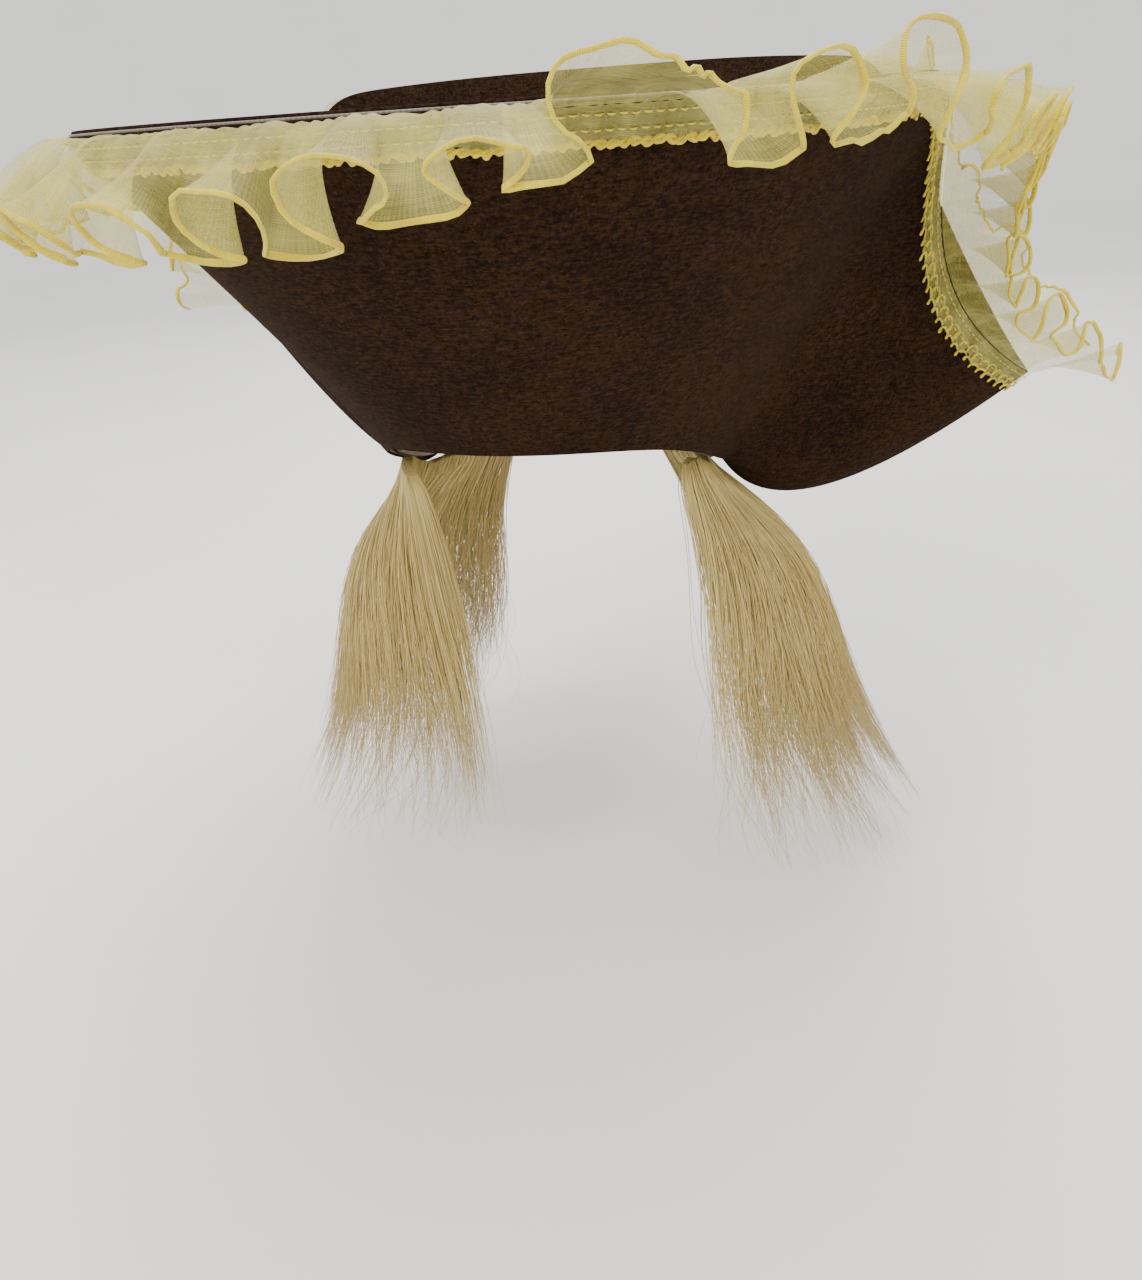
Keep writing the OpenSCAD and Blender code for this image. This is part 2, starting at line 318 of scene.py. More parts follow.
def new_mesh(name: str, points: np.ndarray, faces: np.ndarray, uv: np.ndarray) -> bpy.types.Object:
    """An object at the origin made of points, four-cornered faces and a UV map.

    Args:
        name: Name of the object.
        points: Its points, in metres.
        faces: Corner indices, four for each face.
        uv: A pair for each corner of each face.

    Returns:
        The object, linked to the scene and smooth shaded.
    """
    mesh = bpy.data.meshes.new(name)
    mesh.vertices.add(len(points))
    mesh.vertices.foreach_set("co", np.ascontiguousarray(points, np.float32).ravel())
    mesh.loops.add(faces.size)
    mesh.loops.foreach_set("vertex_index", faces.astype(np.int32).ravel())
    mesh.polygons.add(len(faces))
    mesh.polygons.foreach_set("loop_start", np.arange(0, faces.size, 4, dtype=np.int32))
    mesh.update(calc_edges=True)
    layer = mesh.uv_layers.new(name="UVMap")
    layer.uv.foreach_set("vector", np.ascontiguousarray(uv, np.float32).ravel())
    mesh.polygons.foreach_set("use_smooth", np.ones(len(faces), bool))
    mesh.validate()
    mesh.update()
    piece = bpy.data.objects.new(name, mesh)
    bpy.context.scene.collection.objects.link(piece)
    return piece


def volume(points: np.ndarray, faces: np.ndarray) -> float:
    """Signed volume inside four-cornered faces: positive when they face outwards."""
    a, b, c, d = (points[faces[:, i]] for i in range(4))
    return float((a * np.cross(b, c)).sum() + (a * np.cross(c, d)).sum()) / 6


def sheet_mesh(name: str, points: np.ndarray, uv: np.ndarray) -> bpy.types.Object:
    """An open sheet over a grid of points.

    Args:
        name: Name of the object.
        points: The grid, rows by columns by three.
        uv: The cloth's own flat coordinates, rows by columns by two.

    Returns:
        The object.
    """
    rows, columns = points.shape[:2]
    faces = grid_faces(rows, columns, False, False)
    return new_mesh(name, points.reshape(-1, 3), faces, uv.reshape(-1, 2)[faces])


def fold(sides: int) -> np.ndarray:
    """Quads that close a loop of points, an even number, from one side across to the other."""
    k = np.arange(sides // 2 - 1)
    return np.stack([k, k + 1, sides - 2 - k, sides - 1 - k], -1)


def loft_mesh(name: str, loops: np.ndarray, uv: np.ndarray, ring: bool = False) -> bpy.types.Object:
    """Closed solids lofted through loops of points.

    Args:
        name: Name of the object.
        loops: Solids by stations by points round a loop by three.
        uv: Flat coordinates, with one more point round each loop, and one more
            station in a ring.
        ring: Whether each solid's last loop meets its first.

    Returns:
        The object, with its faces turned outwards.
    """
    count, rows, sides = loops.shape[:3]
    walls = grid_faces(rows, sides, ring, True)
    picks = grid_faces(uv.shape[1], sides + 1, False, False)
    if not ring:
        near, far = fold(sides), fold(sides)[:, ::-1]
        walls = np.concatenate([walls, near, far + (rows - 1) * sides])
        picks = np.concatenate([picks, near, far + (rows - 1) * (sides + 1)])
    solid = np.arange(count)[:, None, None]
    faces = (walls + solid * rows * sides).reshape(-1, 4)
    picks = (picks + solid * uv.shape[1] * (sides + 1)).reshape(-1, 4)
    points = loops.reshape(-1, 3)
    if volume(points, faces) < 0:
        faces, picks = faces[:, ::-1], picks[:, ::-1]
    return new_mesh(name, points, faces, uv.reshape(-1, 2)[picks])


def shell_mesh(
    name: str, front: np.ndarray, back: np.ndarray, uv: np.ndarray, ring: bool = False
) -> bpy.types.Object:
    """A closed shell between two grids of the same size, with a rim between their borders.

    Args:
        name: Name of the object.
        front: The grid that shows, rows by columns by three.
        back: The grid behind it.
        uv: Flat coordinates for both, with one more row than the grids in a ring.
        ring: Whether the last row meets the first, which leaves only the columns a rim.

    Returns:
        The object.
    """
    loops = np.concatenate([front, back[:, ::-1]], 1)
    flat = np.concatenate([uv, uv[:, ::-1], uv[:, :1]], 1)
    return loft_mesh(name, loops[None], flat[None], ring)


def tube_mesh(
    name: str,
    paths: np.ndarray,
    across: np.ndarray,
    lift: np.ndarray,
    sides: int = 8,
    shade: np.ndarray | None = None,
) -> bpy.types.Object:
    """Tubes round paths, each with an oval section.

    A point of a section is the path's point plus cos(turn) times across plus
    sin(turn) times lift.

    Args:
        name: Name of the object.
        paths: Tubes by stations by three.
        across: Half the section's width as vectors, of the same shape.
        lift: Half the section's height as vectors, of the same shape.
        sides: Points round a section, an even number.
        shade: A number for each tube that becomes its U coordinate.

    Returns:
        The object.
    """
    turn = np.linspace(0, 2 * np.pi, sides + 1)[:, None]
    loops = paths[:, :, None] + np.cos(turn[:-1]) * across[:, :, None]
    loops = loops + np.sin(turn[:-1]) * lift[:, :, None]
    run = np.linalg.norm(np.diff(paths, axis=1, prepend=paths[:, :1]), axis=2).cumsum(1)
    around = turn[:, 0] / (2 * np.pi) if shade is None else shade[:, None, None]
    uv = np.stack(np.broadcast_arrays(around, run[:, :, None] + 0 * turn[:, 0]), -1)
    return loft_mesh(name, loops, uv)


# --- Shader maths ----------------------------------------------------------


class Value:
    """A number socket that adds Math nodes when it is used in an expression."""

    def __init__(self, paint: "Paint", socket: bpy.types.NodeSocket) -> None:
        """Wraps a socket of a material that is being painted."""
        self.paint = paint
        self.socket = socket

    def maths(self, operation: str, *others: "Value | float", clamp: bool = False) -> "Value":
        """One Math node whose first input is this value.

        Args:
            operation: The node's operation.
            others: Its other inputs.
            clamp: Whether the result is kept between 0 and 1.

        Returns:
            The node's result.
        """
        settings = {"operation": operation, "use_clamp": clamp}
        inputs = dict(enumerate([self, *others]))
        return Value(self.paint, self.paint.node("ShaderNodeMath", settings, inputs).outputs[0])

    def __add__(self, other: "Value | float") -> "Value":
        """The sum."""
        return self.maths("ADD", other)

    def __mul__(self, other: "Value | float") -> "Value":
        """The product."""
        return self.maths("MULTIPLY", other)

    def __sub__(self, other: "Value | float") -> "Value":
        """The difference."""
        return self.maths("SUBTRACT", other)

    def __rsub__(self, other: float) -> "Value":
        """A number less this value."""
        return (self * -1) + other

    __radd__ = __add__
    __rmul__ = __mul__

    def wave(self) -> "Value":
        """The sine, brought between 0 and 1."""
        return self.maths("SINE") * 0.5 + 0.5

    def between(self, low: float, high: float) -> "Value":
        """0 below low, 1 above high and even in between."""
        return ((self - low) * (1 / (high - low))).maths("ADD", 0, clamp=True)


Socket = Value | bpy.types.NodeSocket | float | tuple


class Paint:
    """One material and the nodes that are put into it."""

    def __init__(self, name: str) -> None:
        """Starts a material with a Principled shader and its output."""
        self.material = bpy.data.materials.new(name)
        self.material.use_nodes = True
        self.tree = self.material.node_tree
        self.tree.nodes.clear()
        self.shader = self.node("ShaderNodeBsdfPrincipled")
        self.node("ShaderNodeOutputMaterial", inputs={"Surface": self.shader.outputs[0]})

    def node(
        self, kind: str, settings: dict | None = None, inputs: dict | None = None
    ) -> bpy.types.Node:
        """Adds a node.

        Args:
            kind: The node's type.
            settings: Its own settings, set first.
            inputs: Values or links for its sockets, by name or number.

        Returns:
            The node.
        """
        node = self.tree.nodes.new(kind)
        for key, value in (settings or {}).items():
            setattr(node, key, value)
        for key, value in (inputs or {}).items():
            self.set(node.inputs[key], value)
        return node

    def set(self, target: bpy.types.NodeSocket, value: Socket) -> None:
        """Links a socket or sets its value."""
        if isinstance(value, Value):
            value = value.socket
        if isinstance(value, bpy.types.NodeSocket):
            self.tree.links.new(value, target)
        elif target.type == "RGBA":
            target.default_value = (*value, 1)
        else:
            target.default_value = value

    def place(self) -> bpy.types.NodeSocket:
        """Object coordinates, which are the hat's own metres."""
        return self.node("ShaderNodeTexCoord").outputs["Object"]

    def cloth(self) -> tuple[Value, Value]:
        """The two flat coordinates of the piece's own UV map."""
        split = self.node("ShaderNodeSeparateXYZ", inputs={0: self.flat()})
        return Value(self, split.outputs[0]), Value(self, split.outputs[1])

    def flat(self) -> bpy.types.NodeSocket:
        """The piece's UV map as a vector."""
        return self.node("ShaderNodeUVMap", {"uv_map": "UVMap"}).outputs[0]

    def stretched(self, vector: bpy.types.NodeSocket, *sizes: float) -> bpy.types.NodeSocket:
        """A vector whose axes are multiplied by three sizes."""
        settings = {"operation": "MULTIPLY"}
        return self.node("ShaderNodeVectorMath", settings, {0: vector, 1: sizes}).outputs[0]

    def noise(
        self, vector: bpy.types.NodeSocket, scale: float, detail: float = 3, rough: float = 0.6
    ) -> Value:
        """Fractal noise.

        Args:
            vector: Where it is read.
            scale: Cells for each unit.
            detail: Octaves.
            rough: How strong the small octaves are.

        Returns:
            Its value, about 0.5 in the middle.
        """
        inputs = {"Vector": vector, "Scale": scale, "Detail": detail, "Roughness": rough}
        return Value(self, self.node("ShaderNodeTexNoise", inputs=inputs).outputs[0])

    def blend(self, share: Socket, low: Socket, high: Socket) -> bpy.types.NodeSocket:
        """A colour between two colours."""
        settings = {"data_type": "RGBA"}
        node = self.node("ShaderNodeMix", settings, {0: share, 6: low, 7: high})
        return node.outputs[2]

    def relief(self, height: Value, depth: float, strength: float = 1) -> None:
        """Feeds a height through a Bump node to the shader.

        Args:
            height: The height, 0 to 1.
            depth: How deep 1 is, in metres.
            strength: The bump's strength.
        """
        inputs = {"Strength": strength, "Distance": depth, "Height": height}
        self.finish(Normal=self.node("ShaderNodeBump", inputs=inputs).outputs[0])

    def finish(self, **inputs: Socket) -> None:
        """Sets the shader's sockets by name, with spaces written as underscores."""
        for key, value in inputs.items():
            self.set(self.shader.inputs[key.replace("_", " ")], value)


# --- Finishes --------------------------------------------------------------


@dataclass(frozen=True)
class Felt:
    """Needled felt: matted fibres that lie mostly one way, with paler ones on top."""

    name: str
    dark: tuple = (0.0060, 0.0026, 0.0012)
    light: tuple = (0.040, 0.0190, 0.0078)
    fleck: tuple = (0.130, 0.080, 0.046)

    def made(self) -> bpy.types.Material:
        """The material: fibre noise stretched two ways, cloudy wear, flecks and a fine nap."""
        paint = Paint(self.name)
        place = paint.place()
        matted = paint.noise(place, 520, 6, 0.78)
        level = paint.noise(paint.stretched(place, 210, 210, 1100), 1, 5, 0.7)
        upright = paint.noise(paint.stretched(place, 1000, 1000, 260), 1, 5, 0.7)
        cloud = paint.noise(place, 16, 4, 0.6)
        fibres = matted * 0.4 + level * 0.35 + upright * 0.25
        tone = (fibres - 0.5) * 6.4 + (cloud - 0.5) * 0.8 + 0.34
        colour = paint.blend(tone.between(0, 1), self.dark, self.light)
        stray = paint.noise(paint.stretched(place, 700, 700, 2300), 1, 2, 0.5)
        flecks = stray.between(0.64, 0.72) * cloud.between(0.3, 0.7) * 0.5
        paint.finish(
            Base_Color=paint.blend(flecks, colour, self.fleck),
            Roughness=0.95,
            Specular_IOR_Level=0.04,
            Sheen_Weight=0.025,
            Sheen_Roughness=0.5,
            Sheen_Tint=(0.70, 0.48, 0.34),
        )
        paint.relief(fibres, 0.0022, 0.8)
        return paint.material


@dataclass(frozen=True)
class Organza:
    """Sheer crisp organza: a fine open weave with a soft sheen, and a highlight along its folds painted
    into its colour.
    """

    name: str
    thread: tuple = (0.44, 0.385, 0.060)
    # paler colour of the painted highlight along the pleats
    painted_highlight: tuple = (0.74, 0.68, 0.20)
    cover: float = 0.42

    def made(self) -> bpy.types.Material:
        """The material: cover is an even share plus the weave, streaks and cloudy patches; the colour
        pales towards a painted highlight along the pleats, mixed with cloudy random tone.
        """
        paint = Paint(self.name)
        warp, weft = paint.cloth()
        flat = paint.flat()
        weave = (warp * 9000).wave() * 0.5 + (weft * 9000).wave() * 0.5
        streak = paint.noise(paint.stretched(flat, 60, 900, 1), 1, 3, 0.6)
        pleat = paint.noise(paint.stretched(flat, 420, 14, 1), 1, 3, 0.6)
        patch = paint.noise(flat, 45, 3, 0.55)
        cover = weave * 0.16 + (streak - 0.5) * 0.35 + (patch - 0.5) * 0.4 + (self.cover - 0.08)
        # painted highlight: half comes from the pleat stripes, where the folds catch the light, and
        # half is random cloudy tone of the cloth
        highlight_and_tone = patch * 0.5 + pleat * 0.5
        paint.finish(
            Base_Color=paint.blend(highlight_and_tone.between(0.3, 0.7), self.thread, self.painted_highlight),
            Alpha=cover.between(0, 1),
            Roughness=0.42,
            Specular_IOR_Level=0.45,
            Sheen_Weight=0.35,
            Sheen_Roughness=0.3,
            Sheen_Tint=(1, 0.97, 0.8),
        )
        paint.relief(pleat * 0.7 + weave * 0.3, 0.0006, 0.5)
        return paint.material


@dataclass(frozen=True)
class Thread:
    """Thread wound or looped over an edge: fine slanting turns with deeper gaps."""

    name: str
    dark: tuple
    light: tuple
    pitch: float = 0.0009
    rough: float = 0.45

    def made(self) -> bpy.types.Material:
        """The material: bands that climb round the tube, and cloudy changes of colour."""
        paint = Paint(self.name)
        around, along = paint.cloth()
        turns = (along * (2 * math.pi / self.pitch) + around * (4 * math.pi)).wave()
        cloud = paint.noise(paint.place(), 160, 3, 0.6)
        tone = turns * 0.35 + (cloud - 0.5) * 1.6 + 0.35
        paint.finish(
            Base_Color=paint.blend(tone.between(0, 1), self.dark, self.light),
            Roughness=self.rough,
            Specular_IOR_Level=0.4,
            Sheen_Weight=0.2,
        )
        paint.relief(turns, 0.0004, 0.8)
        return paint.material


@dataclass(frozen=True)
class Hair:
    """Straight blond hair: each strand has its own tone, darker and redder to the tip."""

    name: str
    root: tuple = (0.40, 0.285, 0.085)
    pale: tuple = (0.80, 0.63, 0.22)
    tip: tuple = (0.22, 0.125, 0.040)
    length: float = 0.250

    def made(self) -> bpy.types.Material:
        """The material: strand tone from U, and root to tip from V."""
        paint = Paint(self.name)
        strand, along = paint.cloth()
        tone = paint.noise(paint.stretched(paint.flat(), 37, 6, 1), 1, 2, 0.5)
        body = paint.blend((strand * 0.7 + tone * 0.5 - 0.1).between(0, 1), self.root, self.pale)
        fade = (along * (1 / self.length)).between(0.45, 1.1) * (strand * 0.5 + 0.35)
        paint.finish(
            Base_Color=paint.blend(fade.between(0, 1), body, self.tip),
            Roughness=0.34,
            Specular_IOR_Level=0.5,
        )
        paint.relief(tone, 0.0002, 0.3)
        return paint.material


@dataclass(frozen=True)
class Woven:
    """A plain close weave: ribs one way and fine threads the other."""

    name: str
    dark: tuple
    light: tuple
    rib: float
    thread: float
    rough: float = 0.85
    gloss: float = 0.2

    def made(self) -> bpy.types.Material:
        """The material: the product of two waves, one for the ribs and one for the threads."""
        paint = Paint(self.name)
        place = paint.place()
        along, across = paint.cloth()
        rib = (along * (2 * math.pi / self.rib)).wave()
        thread = (across * (2 * math.pi / self.thread)).wave()
        cloud = paint.noise(place, 60, 3, 0.6)
        tone = rib * 0.35 + thread * 0.2 + (cloud - 0.5) * 0.8 + 0.2
        paint.finish(
            Base_Color=paint.blend(tone.between(0, 1), self.dark, self.light),
            Roughness=self.rough,
            Specular_IOR_Level=self.gloss,
            Sheen_Weight=0.15,
        )
        paint.relief(rib * 0.7 + thread * 0.3, 0.0004, 0.7)
        return paint.material


@dataclass(frozen=True)
class Netting:
    """A woven cloth whose pattern follows the hat's own metres, for parts that carry no flat map."""

    name: str
    dark: tuple
    light: tuple
    pitch: float

    def made(self) -> bpy.types.Material:
        """The material: waves round the hat and up it, over a cloudy tone."""
        paint = Paint(self.name)
        place = paint.place()
        split = paint.node("ShaderNodeSeparateXYZ", inputs={0: place})
        x, y, z = (Value(paint, split.outputs[i]) for i in range(3))
        turns = 2 * math.pi / self.pitch
        weave = ((x + y) * turns).wave() * 0.5 + (z * turns).wave() * 0.5
        cloud = paint.noise(place, 80, 3, 0.6)
        tone = weave * 0.6 + (cloud - 0.5) * 0.8 + 0.2
        paint.finish(
            Base_Color=paint.blend(tone.between(0, 1), self.dark, self.light),
            Roughness=0.9,
            Specular_IOR_Level=0.2,
        )
        paint.relief(weave, 0.0003, 0.6)
        return paint.material


class Finish(Enum):
    """The finishes of the hat, each with the record's slot that it stands for."""

    BRIM_FELT = ("brim_felt", Felt("brim_felt"))
    INNER_FELT = ("inner_felt", Felt("inner_felt", light=(0.045, 0.023, 0.012)))
    CROWN_FELT = ("crown_felt", Felt("crown_felt"))
    STIFFENER = (
        "stiffener",
        Woven("stiffener", (0.20, 0.185, 0.155), (0.42, 0.39, 0.33), 0.0016, 0.0016),
    )
    LINING = ("lining", Woven("lining", (0.012, 0.010, 0.009), (0.034, 0.028, 0.023), 0.0007, 0.0007))
    SWEATBAND = (
        "sweatband",
        Woven("sweatband", (0.012, 0.009, 0.007), (0.045, 0.035, 0.026), 0.0011, 0.0006, 0.7, 0.3),
    )
    FELT_THREAD = ("felt_thread", Thread("felt_thread", (0.02, 0.014, 0.01), (0.07, 0.05, 0.035)))
    RUFFLE = ("organza_ruffle", Organza("organza_ruffle"))
    HEADER = ("organza_header", Organza("organza_header", cover=0.36))
    EDGING = (
        "gold_edging",
        Thread("gold_edging", (0.62, 0.42, 0.0), (0.93, 0.78, 0.0), 0.0006),
    )
    BRAID = ("looped_braid", Thread("looped_braid", (0.50, 0.32, 0.0), (0.90, 0.70, 0.0), 0.0006))
    GOLD_THREAD = ("gold_thread", Thread("gold_thread", (0.55, 0.40, 0.0), (0.90, 0.76, 0.02)))
    WEFT_TAPE = ("weft_tape", Netting("weft_tape", (0.20, 0.14, 0.08), (0.46, 0.36, 0.22), 0.0014))
    HAIR = ("hair", Hair("hair"))

    @property
    def slot(self) -> str:
        """The record's material slot."""
        return self.value[0]


class Wardrobe:
    """Makes each finish once and puts it on pieces."""

    def __init__(self) -> None:
        """Starts with no finish made."""
        self.made: dict[Finish, bpy.types.Material] = {}

    def dress(self, piece: bpy.types.Object, finish: Finish) -> None:
        """Gives a piece a finish, in every material slot that it has."""
        if finish not in self.made:
            self.made[finish] = finish.value[1].made()
        for place in range(len(piece.material_slots)):
            piece.material_slots[place].material = self.made[finish]
        if not piece.material_slots:
            piece.data.materials.append(self.made[finish])

    def add(
        self, piece: bpy.types.Object, finish: Finish, stands_for: list[str], body: str = HAT
    ) -> bpy.types.Object:
        """Dresses a new piece and ties it to the model.

        Args:
            piece: The new piece.
            finish: Its finish.
            stands_for: The CAD nodes that it replaces.
            body: The body that it moves with.

        Returns:
            The piece.
        """
        self.dress(piece, finish)
        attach(piece, body)
        if stands_for:
            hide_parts(*stands_for)
        triangles = sum(len(p.vertices) - 2 for p in piece.data.polygons)
        log.info("%s: %d triangles, %s, on %s", piece.name, triangles, finish.slot, body)
        return piece


# --- Brim and crown --------------------------------------------------------


@dataclass
class Brim:
    """The brim's outer felt, woven stiffener and inner felt, one inside the other."""

    form: HatForm
    wardrobe: Wardrobe
    felt: float = 1.6 * MM
    stiffener: float = 0.6 * MM
    gap: float = 0.3 * MM
    stations: int = 540
    rows: int = 34
    lip: float = 0.9 * MM
    flat_height: float = 0.16

    def shares(self, azimuth: np.ndarray) -> tuple[np.ndarray, np.ndarray]:
        """Rows up the brim, close together at its two cut edges, and how full the felt is there.

        The felt's half thickness falls along a quarter circle within a lip of
        each edge.

        Args:
            azimuth: Azimuths of the stations.

        Returns:
            The rows' shares, stations by rows, and the fullness of each row.
        """
        form = self.form
        middle = form.middle(azimuth)
        near = self.lip / (2 * np.linalg.norm(middle - form.root(azimuth), axis=-1))[:, None]
        far = self.lip / (2 * np.linalg.norm(form.edge(azimuth) - middle, axis=-1))[:, None]
        step = np.linspace(0, 1, 6)[:-1]
        inner = near + (1 - near - far) * np.linspace(0, 1, self.rows)
        rows = np.concatenate([near * step, inner, 1 - far * step[::-1]], 1)
        curve = np.maximum(rounded(1 - step), 0.12)
        return rows, np.concatenate([curve, np.ones(self.rows), curve[::-1]])

    def layer(self, name: str, face: float, thickness: float) -> bpy.types.Object:
        """One layer, closed round the hat.

        Args:
            name: Name of the piece.
            face: How far its outer face lies outside the brim's face.
            thickness: The layer's thickness.

        Returns:
            The piece.
        """
        azimuth = np.linspace(-180, 180, self.stations + 1)
        rows, full = self.shares(azimuth)
        middle = face - thickness / 2
        turn = azimuth[:-1, None] + 0 * rows[:-1]
        front = self.form.off_face(turn, rows[:-1], middle + full * thickness / 2)
        back = self.form.off_face(turn, rows[:-1], middle - full * thickness / 2)
        around = np.radians(azimuth)[:, None] * self.form.reach + 0 * rows
        uv = np.stack([around, rows * self.flat_height], -1)
        return shell_mesh(name, front, back, uv, ring=True)

    def build(self) -> None:
        """Makes the three layers."""
        inner = -self.felt - self.gap - self.stiffener - self.gap
        add = self.wardrobe.add
        add(self.layer("outer_felt", 0.0, self.felt), Finish.BRIM_FELT, ["brim_outer_felt"])
        stiffener = self.layer("stiffener", -self.felt - self.gap, self.stiffener)
        add(stiffener, Finish.STIFFENER, ["brim_stiffener"])
        add(self.layer("inner_felt", inner, self.felt), Finish.INNER_FELT, ["brim_inner_felt"])


@dataclass
class Crown:
    """The crown's side and domed top, its lining, the sweatband and the hair's tapes."""

    form: HatForm
    wardrobe: Wardrobe
    height: float = 0.106
    taper: float = 5 * MM
    dome: float = 8 * MM
    felt: float = 2 * MM
    face: float = 0.8 * MM
    lining: float = 0.5 * MM
    band_height: float = 30 * MM
    band_face: float = -1.6 * MM
    band: float = 1.1 * MM
    stations: int = 240

    def wall(
        self,
        name: str,
        face: float,
        thickness: float,
        low: float,
        high: float | None,
        lean: float,
        ripple: float = 0,
    ) -> bpy.types.Object:
        """A band that stands on the rim's line and leans in to its top.

        Args:
            name: Name of the piece.
            face: How far its inner side lies outside the opening's edge.
            thickness: The band's thickness.
            low: Height of its lower edge above the rim.
            high: Height of its upper edge, or None to follow the rim.
            lean: How far its top leans in.
            ripple: Depth of the slow waves in its surface.

        Returns:
            The piece.
        """
        azimuth = np.linspace(-180, 180, self.stations + 1)
        share = np.linspace(0, 1, 28)
        share = 0.5 - 0.5 * np.cos(np.pi * share)
        turn = azimuth[:-1, None] + 0 * share
        foot = self.form.rim_height(turn) + low
        top = foot + self.band_height if high is None else high
        level = foot + (top - foot) * share
        cut = np.minimum(share, 1 - share) * 60
        full = np.maximum(rounded(1 - np.clip(cut, 0, 1)), 0.2)
        wave = ripple * np.sin(np.radians(turn) * 7 + 4 * share) * np.sin(np.pi * share)
        wave = wave + ripple * np.sin(np.radians(turn) * 12 + 1.7) * share * (1 - share) * 2
        middle = face + thickness / 2 - lean * share + wave
        front = self.form.beside(turn, middle + full * thickness / 2, level)
        back = self.form.beside(turn, middle - full * thickness / 2, level)
        around = np.radians(azimuth)[:, None] * self.form.opening_depth / 2 + 0 * share
        uv = np.stack([around, np.broadcast_to(share * 0.1, around.shape)], -1)
        return shell_mesh(name, front, back, uv, ring=True)

    def disc(self, name: str, off: float, level: float, thickness: float) -> bpy.types.Object:
        """A domed oval: a square grid bent to a circle, raised by one less the radius squared.

        Args:
            name: Name of the piece.
            off: How far its edge lies outside the opening's edge.
            level: Height of its underside at its edge.
            thickness: Its thickness.

        Returns:
            The piece.
        """
        side = np.sin(np.linspace(-1, 1, 90) * np.pi / 2)
        u, v = np.meshgrid(side, side, indexing="ij")
        x, y = u * np.sqrt(1 - v * v / 2), v * np.sqrt(1 - u * u / 2)
        radius = np.sqrt(x * x + y * y)
        height = level + self.dome * (1 - radius**2)
        across = x * (self.form.opening_width / 2 + off)
        along = y * (self.form.opening_depth / 2 + off)
        full = np.maximum(rounded((radius - 0.98) / 0.02), 0.3) * thickness / 2
        front = np.stack([across, along, height + thickness / 2 + full], -1)
        back = np.stack([across, along, height + thickness / 2 - full], -1)
        return shell_mesh(name, front, back, np.stack([across, along], -1))

    def stitches(self) -> bpy.types.Object:
        """The stitches below the crown's top seam, which sink into the felt at both ends."""
        drop, count, length = 3 * MM, 118, 3.2 * MM
        azimuth = np.linspace(-180, 180, count, endpoint=False)[:, None]
        off = self.face + self.felt - self.taper * (1 - drop / self.height)
        share = np.linspace(-0.5, 0.5, 6)
        reach = np.degrees(length / (self.form.opening_depth / 2))
        rise = 0.5 * MM * (1 - (2 * share) ** 2) - 0.1 * MM
        turn = azimuth + reach * share
        path = self.form.beside(turn, off + rise, self.height - drop + 0.5 * MM * share)
        along = unit(np.gradient(path, axis=1))
        up = np.broadcast_to([0.0, 0.0, 1.0], path.shape)
        thick = (0.32 * MM * rounded(np.abs(2 * share) * 0.9))[:, None]
        return tube_mesh("crown_stitches", path, up * thick, np.cross(along, up) * thick, 6)

    def build(self) -> None:
        """Makes the pieces and dresses the tapes that come from the CAD model."""
        add = self.wardrobe.add
        edge = self.face + self.felt - self.taper
        side = self.wall("crown_wall", self.face, self.felt, 7 * MM, self.height, self.taper, 0.25 * MM)
        add(side, Finish.CROWN_FELT, ["crown_side"])
        top = self.disc("crown_roof", edge, self.height + 0.2 * MM, self.felt)
        add(top, Finish.CROWN_FELT, ["crown_top"])
        add(self.stitches(), Finish.FELT_THREAD, ["crown_top_stitches"])
        wall = self.wall(
            "lining_wall", 0.0, self.lining, 9 * MM, self.height - 1.6 * MM, self.taper
        )
        add(wall, Finish.LINING, ["lining_side"])
        roof = self.disc(
            "lining_roof", -self.taper - 0.3 * MM, self.height - 1.2 * MM, self.lining
        )
        add(roof, Finish.LINING, ["lining_top"])
        lean = self.taper * self.band_height / (self.height - self.band_height)
        band = self.wall("sweat_band", self.band_face, self.band, 1 * MM, None, lean)
        add(band, Finish.SWEATBAND, ["sweatband"])
        for node in ("weft_right", "weft_left"):
            self.wardrobe.dress(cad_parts[node], Finish.WEFT_TAPE)


# --- Trim ------------------------------------------------------------------


@dataclass(frozen=True)
class Lift:
    """A stretch of the brim where the ruffle stands higher than it hangs elsewhere."""

    azimuth: float
    spread: float
    degrees: float
    power: float = 4

    def at(self, azimuth: np.ndarray) -> np.ndarray:
        """How many degrees the ruffle is turned up at each azimuth."""
        return self.degrees * bump(azimuth, self.azimuth, self.spread, self.power)


@dataclass(frozen=True)
class Run:
    """A length of ribbon between two corners of the brim."""

    name: str
    first: float
    last: float


